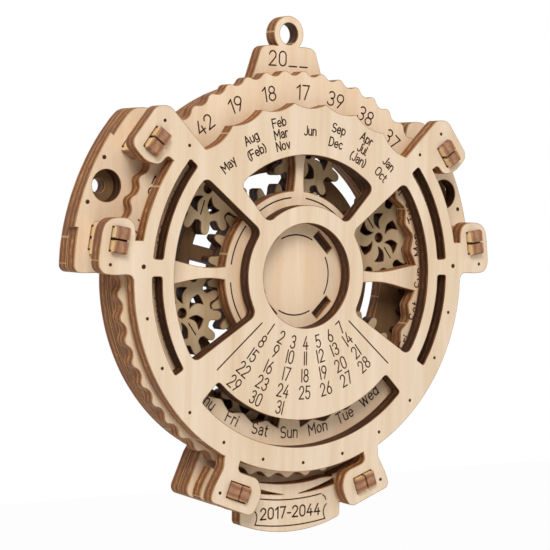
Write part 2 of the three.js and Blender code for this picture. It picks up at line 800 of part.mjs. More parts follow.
function frameGroup() {
  const group = new THREE.Group();
  group.add(piece('front_plate', frontPlate(), colours.face, frontPlateY));
  group.add(piece('ring_frame', ringFrame(), colours.face, ringFrameY));
  group.add(piece('back_plate', backPlate(), colours.face, backPlateY));
  group.add(piece('plaque_plate', plaquePlate(), colours.face, wheelY));
  Object.entries(clipPlaces).forEach(([name, { radius, angle, head }]) => {
    const clip = piece(`clip_${name}`, clipSolid(head), colours.clip);
    const place = polar(radius, angle);
    clip.position.set(place.x, 0, place.y);
    clip.rotation.y = radians(90 - angle);
    group.add(clip);
  });
  return group;
}

function wheelGroup() {
  const group = new THREE.Group();
  const wheel = piece('year_wheel', yearWheel(), colours.wheel, wheelY);
  const spacer = piece(
    'hub_spacer',
    hubDisc(hubBossRadius, layerGap - 2 * seatGap),
    colours.inner,
    wheelY + layerGap - seatGap,
  );
  const boss = piece(
    'hub_boss',
    hubDisc(hubBossRadius, boardThickness - hubBossRecess),
    colours.inner,
    backPlateY - hubBossRecess,
  );
  group.add(wheel, spacer, piece('sun_gear', sunGear(), colours.gear, ringFrameY), boss);
  const keyFront = wheelY - boardThickness + keyRecess;
  const keyBack = backPlateY - hubBossRecess - seatGap;
  keyPlaces.forEach((place, index) => {
    const outline = slot(place, keyLength, keyThickness);
    const key = board(outline, { thickness: keyBack - keyFront, back: keyBack });
    group.add(piece(`hub_key_${index + 1}`, key, colours.inner));
  });
  return group;
}

function carrierGroup() {
  const group = new THREE.Group();
  group.add(piece('planet_carrier', planetCarrier(), colours.inner, backPlateY));
  const pinFront = ringFrameY - boardThickness + pinRecess;
  const pinBack = backPlateY - seatGap;
  planetAngles.forEach((angle, index) => {
    const place = polar(orbitRadius, angle);
    const pin = piece(
      `planet_pin_${index + 1}`,
      board(circle(planetPinRadius), { thickness: pinBack - pinFront }),
      colours.pin,
      pinBack,
    );
    pin.position.x = place.x;
    pin.position.z = place.y;
    const isTurnedOver = index === turnedOverPlanet;
    const gear = piece(`planet_gear_${index + 1}`, planetGear(isTurnedOver), colours.gear, ringFrameY);
    gear.position.x = place.x;
    gear.position.z = place.y;
    group.add(pin, gear);
  });
  return group;
}

const dial = new THREE.Group();
dial.add(frameGroup(), wheelGroup(), carrierGroup());
dial.position.z = -eyeHeight;

const calendar = new THREE.Group();
calendar.name = 'perpetual_calendar';
calendar.add(dial);

export default calendar;
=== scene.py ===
"""Looks of a laser-cut birch plywood perpetual calendar with a planetary year wheel.

Every length in the classes is in millimetres and is turned to metres when a mesh is made.
Angles are in degrees from +X, counter-clockwise as seen from the front.
"""

import logging
from dataclasses import dataclass, field
from enum import Enum
from typing import Sequence

import bpy
import numpy as np
from mathutils import Matrix, Vector
from mathutils.geometry import delaunay_2d_cdt


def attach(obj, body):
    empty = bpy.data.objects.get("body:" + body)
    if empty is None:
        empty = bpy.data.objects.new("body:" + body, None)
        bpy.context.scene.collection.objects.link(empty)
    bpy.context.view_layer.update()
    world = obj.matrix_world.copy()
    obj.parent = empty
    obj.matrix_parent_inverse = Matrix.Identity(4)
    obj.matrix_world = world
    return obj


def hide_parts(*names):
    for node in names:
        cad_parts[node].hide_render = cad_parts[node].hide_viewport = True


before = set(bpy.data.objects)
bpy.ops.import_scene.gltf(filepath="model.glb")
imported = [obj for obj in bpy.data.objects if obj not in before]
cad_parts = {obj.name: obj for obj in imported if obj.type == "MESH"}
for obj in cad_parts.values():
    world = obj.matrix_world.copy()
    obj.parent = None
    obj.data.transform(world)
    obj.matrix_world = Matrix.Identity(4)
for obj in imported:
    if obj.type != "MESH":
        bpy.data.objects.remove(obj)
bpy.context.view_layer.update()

log = logging.getLogger("calendar")

Array = np.ndarray
Socket = bpy.types.NodeSocket
Tree = bpy.types.NodeTree
Pattern = tuple[Array, Array]

MM = 0.001
DIAL_AXIS_Z = -48.7

# Faces of the boards that carry engraving, as places on the front-to-back axis
DIAL_FACE_Y = -14.5
WHEEL_FACE_Y = -10.4
GEAR_FACE_Y = -6.3

# Two points closer than this are one point
SAME_PLACE = 1e-3

# Angles of the dial's top and bottom
UP = 90.0
DOWN = 270.0

LAST_DATE = 31

YEARS = (17, 39, 38, 37, 36, 30, 29, 28, 33, 32, 43, 31, 24, 35,
         23, 22, 21, 20, 25, 41, 40, 34, 44, 27, 26, 42, 19, 18)
WEEKDAYS = ("Sun", "Mon", "Tue", "Wed", "Thu", "Fri", "Sat")
MONTH_COLUMNS = (
    (131.5, ("May",)),
    (117.5, ("Aug", "(Feb)")),
    (104.0, ("Feb", "Mar", "Nov")),
    (90.0, ("Jun",)),
    (76.5, ("Sep", "Dec")),
    (63.0, ("Apr", "Jul", "(Jan)")),
    (49.0, ("Jan", "Oct")),
)


class Grain(Enum):
    """Which way the wood's fibres run on a piece."""

    UPRIGHT = "along the height"
    DEEP = "from front to back"


class Upward(Enum):
    """Which way the top of a word points."""

    OUTWARD = 0.0
    INWARD = 180.0


# Plane vectors


def polar(angle: float | Array) -> Array:
    """Direction (cos a, sin a) of an angle in degrees, or of each angle in a row."""
    turn = np.radians(angle)
    return np.stack([np.cos(turn), np.sin(turn)], -1)


def cross(one: Array, two: Array) -> Array:
    """Cross product of plane vectors, row by row: x1 · y2 less y1 · x2."""
    return one[:, 0] * two[:, 1] - one[:, 1] * two[:, 0]


def left_of(directions: Array) -> Array:
    """Directions a quarter turn to the left of the given ones."""
    return directions[:, ::-1] * (-1, 1)


def edges_of(points: Array) -> tuple[Array, Array]:
    """Direction and length of the edge that follows each point of a closed outline.

    Args:
        points: outline in order.

    Returns:
        Directions, one row a point, and lengths.
    """
    after = np.roll(points, -1, 0) - points
    length = np.linalg.norm(after, axis=1)
    return after / length[:, None], length


def mitres(normal: Array, before: Array, least: float) -> Array:
    """Moves of points whose two edges move by one: the normals' sum over 1 plus their product.

    Args:
        normal: direction that each point's next edge moves in.
        before: that of the edge before it.
        least: least value of the sum below, which keeps a sharp corner's move short.

    Returns:
        Moves, one row a point.
    """
    return (normal + before) / np.maximum(1 + (normal * before).sum(1, keepdims=True), least)


def grid(here: Array, ahead: Array, down: Array, beside: Array, closed: bool = False) -> Pattern:
    """Quads of a grid, where a point's number is its row times the columns, plus its column.

    Args:
        here: the pattern's first coordinate where each column's quads start.
        ahead: the same where they end.
        down: its second coordinate at each row, and once more at the end if closed.
        beside: next column of each column.
        closed: whether the first row follows the last.

    Returns:
        Quads that go down, across, up and back, and their corners' places on the pattern.
    """
    columns, own = len(beside), np.arange(len(beside))
    row = np.arange(len(down) - 1)[:, None]
    after = (row + 1) % (len(down) - closed)
    quads = np.stack([row * columns + own, after * columns + own,
                      after * columns + beside, row * columns + beside], 2)
    first = np.stack([here, here, ahead, ahead], 1)[None]
    second = np.stack([down[:-1], down[1:], down[1:], down[:-1]], 1)[:, None]
    places = np.stack(np.broadcast_arrays(first, second), -1)
    return quads.reshape(-1, 4), places.reshape(-1, 4, 2)


# Strokes

# Single-line letters, a hundred units tall: each has its width and its strokes. A stroke is a row
# of items: a pair is a point that a straight line goes to, and six numbers are an arc: centre,
# half width, half height, first and last angle.
BOWL = ((24, 34, 23.5, 34, 0, 360),)
ARCH = (21, 44, 21, 24)
STEM = ((0, 100), (0, 0))
SHORT = ((0, 68), (0, 0))
GLYPHS = {
    "0": (56, (((28, 70, 28, 30, 0, 180), (28, 30, 28, 30, 180, 360), (56, 70)),)),
    "1": (28, (((0, 80), (26, 100), (26, 0)),)),
    "|": (0, (STEM,)),
    "2": (56, (((28, 72, 27, 28, 170, -38), (0, 0), (56, 0)),)),
    "3": (56, (((27, 75, 25, 25, 155, -90), (27, 26, 28.5, 26, 90, -155)),)),
    "4": (58, (((36, 100), (0, 28), (58, 28)), ((42, 56), (42, 0)))),
    "5": (55, (((50, 100), (8, 100), (4, 54), (26, 31, 28, 31, 128, -150)),)),
    "6": (56, (((38, 100), (6, 46)), ((28, 29, 28, 29, 0, 360),))),
    "7": (54, (((0, 100), (54, 100), (18, 0)),)),
    "8": (56, (((28, 76, 23.5, 24, 0, 360),), ((28, 26.5, 28, 26.5, 0, 360),))),
    "9": (56, (((18, 0), (50, 54)), ((28, 71, 28, 29, 0, 360),))),
    "A": (62, (((0, 0), (31, 100), (62, 0)), ((10, 33), (52, 33)))),
    "D": (58, (((0, 0), (0, 100), (22, 50, 36, 50, 90, -90), (0, 0)),)),
    "F": (50, (((0, 0), (0, 100), (50, 100)), ((0, 52), (43, 52)))),
    "J": (42, (((42, 100), (21, 24, 21, 24, 0, -150)),)),
    "M": (70, (((0, 0), (0, 100), (35, 40), (70, 100), (70, 0)),)),
    "N": (56, (((0, 0), (0, 100), (56, 0), (56, 100)),)),
    "O": (64, (((32, 66, 32, 34, 0, 180), (32, 34, 32, 34, 180, 360), (64, 66)),)),
    "S": (55, (((27.5, 74.5, 26, 25.5, 35, 270), (27.5, 25, 27.5, 25, 90, -145)),)),
    "T": (58, (((0, 100), (58, 100)), ((29, 100), (29, 0)))),
    "W": (84, (((0, 100), (21, 0), (42, 82), (63, 0), (84, 100)),)),
    "a": (43, (((21, 49, 20, 20, 155, 0), (41, 0)),
               ((41, 40), (20, 20, 19, 20, 90, 270), (41, 12)))),
    "b": (47, (STEM, BOWL)),
    "c": (42, (((24, 34, 23.5, 34, 48, 312),),)),
    "d": (48, (((47.5, 100), (47.5, 0)), BOWL)),
    "e": (47, (((1, 36), (47, 36), (24, 34, 23.5, 34, 8, 318)),)),
    "g": (48, (((47.5, 68), (24, -8, 23.5, 20, 0, -150)), BOWL)),
    "h": (42, (STEM, (ARCH + (180, 0), (42, 0)))),
    "i": (0, (SHORT, ((0, 88), (0, 93)))),
    "l": (12, (((0, 100), (13, 13, 13, 13, 180, 270)),)),
    "n": (42, (SHORT, (ARCH + (180, 0), (42, 0)))),
    "o": (48, (BOWL,)),
    "p": (47, (((0, 68), (0, -30)), BOWL)),
    "r": (30, (SHORT, (ARCH + (180, 65),))),
    "t": (28, (((11, 92), (26, 15, 15, 15, 180, 280)), ((0, 68), (27, 68)))),
    "u": (42, (((0, 68), (21, 24, 21, 24, 180, 360)), ((42, 68), (42, 0)))),
    "v": (42, (((0, 68), (21, 0), (42, 68)),)),
    "y": (42, (((0, 68), (21, 2)), ((42, 68), (10, -30)))),
    "(": (14, (((42, 42, 42, 66, 125, 235),),)),
    ")": (14, (((-28, 42, 42, 66, 55, -55),),)),
    "-": (30, (((0, 40), (30, 40)),)),
    "_": (62, (((0, 0), (62, 0)),)),
}


def stroke_path(items: Sequence[tuple], turn: float = 12.0, nearest: float = 0.01) -> Array:
    """Path of one stroke: straight pieces joined to arcs, an arc sampled every few degrees.

    A point of an arc is its centre plus (half width · cos a, half height · sin a).

    Args:
        items: points and arcs in order.
        turn: largest angle between neighbours on an arc.
        nearest: least distance between neighbours.

    Returns:
        Points in letter heights.
    """
    parts = []
    for item in items:
        if len(item) == 2:
            parts.append(np.array([item]))
            continue
        x, y, half_width, half_height, first, last = item
        angles = np.linspace(first, last, int(abs(last - first) / turn) + 2)
        parts.append(polar(angles) * (half_width, half_height) + (x, y))
    path = np.concatenate(parts)
    keep = np.r_[True, np.linalg.norm(np.diff(path, axis=0), axis=1) > nearest]
    return path[keep] / 100


@dataclass(frozen=True)
class Script:
    """A hand of single-line lettering; width and spacing are shares of its height."""

    height: float
    width: float
    spacing: float
    line: float
    plain_one: bool = False

    def word(self, text: str) -> list[Array]:
        """Strokes of a word in millimetres, about the middle of its width and its capitals' height.

        Args:
            text: the word.

        Returns:
            One path a stroke.
        """
        x = 0.0
        paths = []
        for letter in text:
            advance, strokes = GLYPHS["|" if self.plain_one and letter == "1" else letter]
            for items in strokes:
                paths.append(stroke_path(items) * (self.width, 1.0) + (x, -0.5))
            x += advance / 100 * self.width + self.spacing
        half = (x - self.spacing) / 2
        return [(path - (half, 0.0)) * self.height for path in paths]


def round_path(radius: float, middle: float, half: float) -> Array:
    """Arc round the dial axis, from its middle angle less half its span, a point a degree."""
    first, last = middle - half, middle + half
    return polar(np.linspace(first, last, int(abs(last - first)) + 2)) * radius


def radial_path(span: tuple, angle: float, centre: Sequence[float] = (0.0, 0.0)) -> Array:
    """Straight line along a radius, between two distances from the centre."""
    return np.outer(span, polar(angle)) + centre


# Meshes


def new_object(name: str, vertices: Array, faces: Array,
               materials: Sequence[bpy.types.Material], slots: Array | None = None,
               places: Array | None = None, sharp: float = 30.0) -> bpy.types.Object:
    """Object of triangles or quads made from whole arrays.

    Args:
        name: its name.
        vertices: places in millimetres.
        faces: vertex numbers, one row a face.
        materials: its finishes.
        slots: finish number of each face.
        places: the pattern's place at each face's corners.
        sharp: smallest angle between faces that stays sharp.

    Returns:
        The object.
    """
    mesh = bpy.data.meshes.new(name)
    mesh.from_pydata((vertices * MM).astype(float).tolist(), [], faces.tolist())
    for material in materials:
        mesh.materials.append(material)
    if slots is not None:
        mesh.polygons.foreach_set("material_index", slots.astype(np.int32))
    if places is not None:
        layer = mesh.uv_layers.new(name="cut")
        layer.data.foreach_set("uv", places.astype(np.float32).ravel())
    mesh.update()
    mesh.shade_smooth()
    mesh.set_sharp_from_angle(angle=np.radians(sharp))
    piece = bpy.data.objects.new(name, mesh)
    bpy.context.scene.collection.objects.link(piece)
    return piece


def doubled(values: Array, pointer: Array, join: np.ufunc) -> Array:
    """Values joined with all those further along the pointer, whose reach doubles each pass.

    Args:
        values: value of each point.
        pointer: the point that follows each point.
        join: what joins two values.

    Returns:
        The joined value of each point.
    """
    for _ in range(int(np.ceil(np.log2(len(pointer)))) + 1):
        values, pointer = join(values, values[pointer]), pointer[pointer]
    return values


def face_loops(node: str, axes: tuple, flatness: float = 0.01,
               decimals: int = 4) -> tuple[list[Array], float, float]:
    """Outlines of the front face of a CAD board.

    The triangles of the front face, whose corners lie furthest out, have one-sided edges that form
    closed rings. A ring's order is the number of steps from each vertex to its first one.

    Args:
        node: CAD node.
        axes: directions across, up and out of the board's front.
        flatness: how deep a front corner may lie.
        decimals: decimals to which corners of one point agree.

    Returns:
        Rings with wood on their left, and the front and back faces' places along the outward
        direction, in millimetres.
    """
    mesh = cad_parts[node].data
    co = np.zeros(len(mesh.vertices) * 3)
    mesh.vertices.foreach_get("co", co)
    mesh.calc_loop_triangles()
    corners = np.zeros(len(mesh.loop_triangles) * 3, np.int64)
    mesh.loop_triangles.foreach_get("vertices", corners)
    local = np.round(co.reshape(-1, 3) / MM @ np.array(axes).T, decimals)
    points, merged = np.unique(local, axis=0, return_inverse=True)
    triangles = merged.ravel()[corners].reshape(-1, 3)
    front, back = points[:, 2].max(), points[:, 2].min()
    triangles = triangles[(points[triangles, 2] > front - flatness).all(1)]
    edges = np.concatenate([triangles[:, pair] for pair in ([0, 1], [1, 2], [2, 0])])
    count = len(points)
    keys, twins = edges @ (count, 1), edges @ (1, count)
    rim = edges[~np.isin(keys, twins)]
    own = np.arange(count)
    after = own.copy()
    after[rim[:, 0]] = rim[:, 1]
    ring = doubled(own, after, np.minimum)
    head = ring == own
    steps = doubled(np.where(head, 0, 1), np.where(head, own, after), np.add)
    used = np.unique(rim[:, 0])
    loops = []
    for first in np.unique(ring[used]):
        members = used[ring[used] == first]
        order = np.where(steps[members] == 0, len(members), steps[members])
        loops.append(points[members[np.argsort(-order)], :2])
    return loops, front, back


def smooth_ring(points: Array, step: float = 0.3, corner: float = 50.0,
                longest: float = 5.0, much: float = 2.5) -> Array:
    """Closed outline with its bends made round again.

    Each edge becomes a cubic through its ends. On a bend the tangent is the sum of the two edges'
    directions, each weighed by the other's length, or the direction of a much longer edge. At a
    sharp corner it is the other end's, mirrored in the edge. An edge between two corners, or a
    long one, stays straight.

    Args:
        points: outline in order.
        step: distance between new points.
        corner: smallest turn that stays sharp.
        longest: longest edge of a bend.
        much: how many times its neighbour's length a much longer edge has.

    Returns:
        Outline with more points.
    """
    points = points[edges_of(points)[1] > SAME_PLACE]
    unit, length = edges_of(points)
    before, before_length = np.roll(unit, 1, 0), np.roll(length, 1)
    turn = np.degrees(np.arctan2(cross(before, unit), (before * unit).sum(1)))
    sharp = np.abs(turn) > corner
    blend = before * length[:, None] + unit * before_length[:, None]
    blend = np.where((length > much * before_length)[:, None], unit, blend)
    blend = np.where((before_length > much * length)[:, None], before, blend)
    tangent = blend / np.linalg.norm(blend, axis=1, keepdims=True)

    def mirrored(direction: Array) -> Array:
        """Direction mirrored in its edge."""
        return 2 * (direction * unit).sum(1, keepdims=True) * unit - direction

    end_tangent, end_sharp = np.roll(tangent, -1, 0), np.roll(sharp, -1)
    straight = (sharp & end_sharp) | (length > longest)
    start = np.where(sharp[:, None], mirrored(end_tangent), tangent)
    end = np.where(end_sharp[:, None], mirrored(tangent), end_tangent)
    start, end = (np.where(straight[:, None], unit, slope) for slope in (start, end))
    pieces = np.where(straight, 1, np.maximum(1, np.ceil(length / step))).astype(int)
    edge = np.repeat(np.arange(len(points)), pieces)
    first = np.repeat(np.cumsum(pieces) - pieces, pieces)
    t = ((np.arange(len(edge)) - first) / pieces[edge])[:, None]
    size = length[edge][:, None]
    return ((2 * t**3 - 3 * t**2 + 1) * points[edge]
            + (t**3 - 2 * t**2 + t) * size * start[edge]
            + (3 * t**2 - 2 * t**3) * np.roll(points, -1, 0)[edge]
            + (t**3 - t**2) * size * end[edge])


def inset_ring(points: Array, distance: float, least: float = 0.6) -> Array:
    """Outline moved by a distance into the wood, which lies on its left."""
    normal = left_of(edges_of(points)[0])
    return points + mitres(normal, np.roll(normal, 1, 0), least) * distance


@dataclass
class Board:
    """A board cut by laser: birch faces and a burnt wall with softened corners.

    The openings' walls can wear a darker finish of their own, which is painted shade inside them,
    and the rear face can wear its own, so that a front face dark with painted shade keeps a plain
    back.
    """

    node: str
    body: str
    slot: str
    face: "BirchFace"
    edge: "LaserCutEdge"
    hollow: "LaserCutEdge | None" = None
    rear: "BirchFace | None" = None
    axes: tuple = ((1.0, 0.0, 0.0), (0.0, 0.0, 1.0), (0.0, -1.0, 0.0))
    rim: float = 0.2
    rounding: float = 0.06

    def rows(self, depth: float) -> Array:
        """Inset, depth and char of the wall's lines, from the front face to the back face.

        Args:
            depth: the board's thickness.

        Returns:
            One row a line.
        """
        soft = self.rounding
        return np.array([
            (self.rim, 0.0, 0.0),
            (soft, 0.0, 1.0),
            (0.0, soft, 1.0),
            (0.0, depth / 3, 1.0),
            (0.0, 2 * depth / 3, 1.0),
            (0.0, depth - soft, 1.0),
            (soft, depth, 1.0),
            (self.rim, depth, 0.0),
        ])

    def build(self) -> None:
        """Makes the board in place of its CAD node, riding on its body.

        The wall is the rows carried along every outline, and the faces fill the first and the last
        row. The pattern's place on the wall is (length along the outline, depth). An outline that
        runs clockwise, whose doubled area is negative, is an opening.
        """
        loops, front, back = face_loops(self.node, self.axes)
        rings = [smooth_ring(loop) for loop in loops]
        rows = self.rows(front - back)
        sizes = np.array([len(ring) for ring in rings])
        total = int(sizes.sum())
        starts = np.cumsum(sizes) - sizes
        first = np.repeat(starts, sizes)
        beside = first + (np.arange(total) - first + 1) % np.repeat(sizes, sizes)
        flat = np.stack([np.concatenate([inset_ring(ring, row[0]) for ring in rings])
                         for row in rows])
        height = np.broadcast_to((front - rows[:, 1])[:, None, None], (len(rows), total, 1))
        local = np.concatenate([flat, height], 2).reshape(-1, 3)

        base = np.concatenate(rings)
        run = np.linalg.norm(base[beside] - base, axis=1)
        along = np.cumsum(run) - run
        wall, places = grid(along, along + run, rows[:, 1], beside)
        face_slot, wall_slot, hollow_slot, rear_slot = range(4)
        areas = np.add.reduceat(cross(base, base[beside]), starts)
        cut_slots = np.repeat(np.where(areas < 0, hollow_slot, wall_slot), sizes)
        cut_slots = np.tile(cut_slots, (len(rows) - 1, 1))
        cut_slots[0], cut_slots[-1] = face_slot, rear_slot

        front_cap = self.cap(np.split(flat[0], starts[1:]))
        rear_cap = front_cap[:, ::-1]
        halves = ([0, 1, 2], [0, 2, 3])
        triangles = np.concatenate([*(wall[:, half] for half in halves),
                                    front_cap, rear_cap + (len(rows) - 1) * total])
        places = np.concatenate([*(places[:, half] for half in halves),
                                 local[front_cap][..., :2], local[rear_cap][..., :2]])
        slots = np.concatenate([cut_slots.ravel(), cut_slots.ravel(),
                                np.repeat((face_slot, rear_slot), len(front_cap))])
        finishes = (self.face, self.edge, self.hollow or self.edge, self.rear or self.face)
        piece = new_object(f"{self.node}_wood", local @ np.array(self.axes), triangles,
                           [finish.material() for finish in finishes], slots, places)
        char = piece.data.attributes.new("char", "FLOAT", "POINT")
        char.data.foreach_set("value", np.repeat(rows[:, 2], total).astype(np.float32))
        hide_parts(self.node)
        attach(piece, self.body)
        log.info("%s: %d outlines, %d triangles", piece.name, len(rings), len(triangles))

    @staticmethod
    def cap(rings: list[Array], near: float = 1e-7, thin: float = 1e-9) -> Array:
        """Triangles that fill the outlines and leave their holes open, all turned to the front.

        Every outline, turned so that its doubled area is positive, is a face of a Delaunay
        triangulation. A triangle is wood where it lies in an odd number of them.

        Args:
            rings: outlines and holes.
            near: distance at which points merge.
            thin: doubled area of a triangle that is left out.

        Returns:
            Vertex numbers, one row a triangle.
        """
        points = np.concatenate(rings)
        faces, start = [], 0
        for ring in rings:
            own = np.arange(start, start + len(ring))
            area = cross(ring, np.roll(ring, -1, 0)).sum()
            faces.append((own if area > 0 else own[::-1]).tolist())
            start += len(ring)
        merged, _, filled, _, _, inside = delaunay_2d_cdt(points.tolist(), [], faces, 1, near)
        if len(merged) != len(points):
            log.warning("outlines touch: %d points became %d", len(points), len(merged))
        triangles = np.array(filled)
        triangles = triangles[np.fromiter(map(len, inside), int) % 2 == 1]
        triangles = triangles[(triangles < len(points)).all(1)]
        corner, second, third = (points[triangles[:, i]] for i in range(3))
        area = cross(second - corner, third - corner)
        triangles[area < 0] = triangles[area < 0][:, ::-1]
        return triangles[np.abs(area) > thin]


def split_at_corners(path: Array, corner: float = 55.0) -> list[Array]:
    """Parts of a path between its sharp corners, so that each part can end round.

    Args:
        path: points in order.
        corner: smallest sharp turn.

    Returns:
        Parts that share the corners' points.
    """
    step = np.diff(path, axis=0)
    heading = np.arctan2(step[:, 1], step[:, 0])
    turn = np.abs((np.degrees(np.diff(heading)) + 180) % 360 - 180)
    marks = np.r_[0, np.flatnonzero(turn > corner) + 1, len(path) - 1]
    return [path[first:last + 1] for first, last in zip(marks[:-1], marks[1:])]


@dataclass
class Engraving:
    """Lines and round dots burnt into a board's face.

    Sections and shares are in half widths or radii, and a rise of one is as much as they stand
    proud of the face.
    """

    name: str
    body: str
    face_y: float
    slot: str = "plywood_board"
    proud: float = 0.02
    section: tuple = (-1.0, -0.62, 0.62, 1.0)
    section_rise: tuple = (-1.0, 1.0, 1.0, -1.0)
    end_angles: tuple = (6.0, 45.0)
    least_mitre: float = 0.5
    dot_sides: int = 18
    dot_shares: tuple = (0.02, 0.62, 1.0, 0.6, 0.02)
    dot_rise: tuple = (1.0, 1.0, -1.0, -3.0, -3.0)
    dot_tone: tuple = (0.0, 0.62, 1.0, 1.0, 1.0)
    lines: list = field(default_factory=list)
    dots: list = field(default_factory=list)

    def add(self, paths: list[Array], width: float) -> None:
        """Keeps paths to draw with a line of the given width."""
        self.lines += [(part, width / 2) for path in paths for part in split_at_corners(path)]

    def write(self, script: Script, text: str, radius: float, angle: float,
              upward: Upward) -> None:
        """Keeps a word to draw at a place round the dial axis.

        Its points are turned, so that up is along the radius, and then moved out by it.

        Args:
            script: its hand.
            text: the word.
            radius: distance of its middle from the axis.
            angle: its place round the axis.
            upward: which way its top points.
        """
        cosine, sine = polar(angle - UP + upward.value)
        turn = np.array([[cosine, sine], [-sine, cosine]])
        self.add([path @ turn + radius * polar(angle) for path in script.word(text)], script.line)

    def add_dots(self, places: Sequence[tuple], radius: float) -> None:
        """Keeps round dots at places, and at the mirror images of those on the right."""
        own = np.array(places, float)
        self.dots.append((np.concatenate([own, own[own[:, 0] > 0] * (-1, 1)]), radius))

    def raised(self, flat: Array, rise: Array) -> Array:
        """Vertices from places in the dial's plane and their rise."""
        y = np.broadcast_to(self.face_y - rise * self.proud, flat.shape[:-1])
        return np.stack([flat[..., 0], y, flat[..., 1] + DIAL_AXIS_Z], -1).reshape(-1, 3)

    def ribbon(self, path: Array, half: float) -> tuple[Array, Array, Array]:
        """Low ribbon along a path.

        The section is carried along the path with mitred turns, and at an open end it narrows as
        a half circle does: half the width times the sine of the angle gone.

        Args:
            path: points in the dial's plane.
            half: half the line's width.

        Returns:
            Vertices, quads and their corners' places on the pattern.
        """
        closed = np.linalg.norm(path[0] - path[-1]) < SAME_PLACE and len(path) > 3
        if closed:
            path = path[:-1]
        unit, _ = edges_of(path)
        before = np.roll(unit, 1, 0)
        if not closed:
            unit[-1] = before[-1]
            before[0] = unit[0]
        left = left_of(unit)
        mitre = mitres(left, left_of(before), self.least_mitre)
        widths = np.full(len(path), half)
        if not closed:
            reach, narrow = half * polar(np.array(self.end_angles)).T
            path = np.concatenate([path[0] - np.outer(reach, unit[0]), path,
                                   path[-1] + np.outer(reach[::-1], unit[-1])])
            mitre = np.concatenate([np.repeat(left[:1], 2, 0), mitre, np.repeat(left[-1:], 2, 0)])
            widths = np.concatenate([narrow, widths, narrow[::-1]])
        across = np.array(self.section)
        flat = path[:, None] + mitre[:, None] * (widths[:, None] * across)[:, :, None]
        beside = np.roll(np.arange(len(across)), -1)
        run = np.r_[0, np.cumsum(edges_of(path)[1])]
        quads, places = grid(across, across[beside], run if closed else run[:-1], beside, closed)
        outward = [0, 3, 2, 1]
        vertices = self.raised(flat, np.array(self.section_rise))
        return vertices, quads[:, outward], places[:, outward, ::-1]

    def discs(self, places: Array, radius: float) -> tuple[Array, Array, Array]:
        """Low round dots.

        A point is the place plus its ring's share of the radius times (cos a, sin a).

        Args:
            places: centres in the dial's plane.
            radius: a dot's radius.

        Returns:
            Vertices, quads and their corners' places on the pattern.
        """
        sides, levels = self.dot_sides, len(self.dot_shares)
        own = np.arange(sides)
        ring = np.array(self.dot_shares)[:, None, None] * polar(own * 360 / sides) * radius
        flat = places[:, None, None] + ring
        side = 2 * np.pi * radius / sides
        one, pattern = grid(own * side, (own + 1) * side, np.array(self.dot_tone),
                            (own + 1) % sides)
        quads = one + (np.arange(len(places)) * levels * sides)[:, None, None]
        return (self.raised(flat, np.array(self.dot_rise)[:, None]), quads.reshape(-1, 4),
                np.tile(pattern, (len(places), 1, 1)))

    def build(self) -> None:
        """Joins the ribbons and dots in one piece, riding on its body."""
        parts = [self.ribbon(*line) for line in self.lines]
        parts += [self.discs(*dots) for dots in self.dots]
        vertices, quads, places = zip(*parts)
        sizes = np.array([len(part) for part in vertices])
        shifts = np.cumsum(sizes) - sizes
        quads = np.concatenate([part + shift for part, shift in zip(quads, shifts)])
        piece = new_object(self.name, np.concatenate(vertices), quads, (ENGRAVED.material(),), None,
                           np.concatenate(places))
        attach(piece, self.body)
        log.info("%s: %d lines, %d quads", self.name, len(self.lines), len(quads))


# Finishes


def linear(colour: str) -> tuple[float, float, float, float]:
    """sRGB hex colour as linear light, with full opacity.

    A channel up to 0.04045 is divided by 12.92, and any other is ((c + 0.055) / 1.055) to the
    power 2.4.

    Args:
        colour: such as '#ecd9bc'.

    Returns:
        Red, green, blue and opacity.
    """
    channels = np.array([int(colour[i:i + 2], 16) for i in (1, 3, 5)]) / 255
    light = np.where(channels <= 0.04045, channels / 12.92, ((channels + 0.055) / 1.055) ** 2.4)
    return (*light.tolist(), 1.0)


def add_node(tree: Tree, kind: str, *values: object, more: dict | None = None,
             stops: Sequence[tuple] = (), **settings: object) -> Sequence[Socket]:
    """Adds a node with its links and settings.

    Args:
        tree: node tree of a material or a world.
        kind: Blender's name of the node, without its first word.
        values: values or sockets of its first inputs.
        more: those of other inputs, by name or number.
        stops: places and colours of a ramp.
        settings: its own settings.

    Returns:
        Its outputs.
    """
    node = tree.nodes.new(f"ShaderNode{kind}")
    for name, value in settings.items():
        setattr(node, name, value)
    for key, value in (dict(enumerate(values)) | (more or {})).items():
        if isinstance(value, Socket):
            tree.links.new(value, node.inputs[key])
        else:
            node.inputs[key].default_value = value
    for number, (place, colour) in enumerate(stops):
        elements = node.color_ramp.elements
        element = elements[number] if number < 2 else elements.new(place)
        element.position = place
        element.color = linear(colour)
    return node.outputs


def seen_directly(tree: Tree) -> Socket:
    """One for rays from the camera, from a mirror and through glass, and zero for light.

    Args:
        tree: node tree of a material or a world.

    Returns:
        The value.
    """
    path = add_node(tree, "LightPath")
    direct = add_node(tree, "Math", path["Is Camera Ray"], path["Is Transmission Ray"],
                      operation="MAXIMUM")
    return add_node(tree, "Math", direct[0], path["Is Glossy Ray"], operation="MAXIMUM")[0]


class Finish:
    """A material made once and then shared by the pieces that wear it."""

    name: str

    def material(self) -> bpy.types.Material:
        """Makes the material at its first use.

        Returns:
            The material.
        """
        found = bpy.data.materials.get(self.name)
        if found:
            return found
        material = bpy.data.materials.new(self.name)
        material.use_nodes = True
        tree = material.node_tree
        tree.nodes.clear()
        add_node(tree, "OutputMaterial", self.surface(tree))
        return material

    def surface(self, tree: Tree) -> Socket:
        """Shader of the finish; each kind has its own."""
        raise NotImplementedError


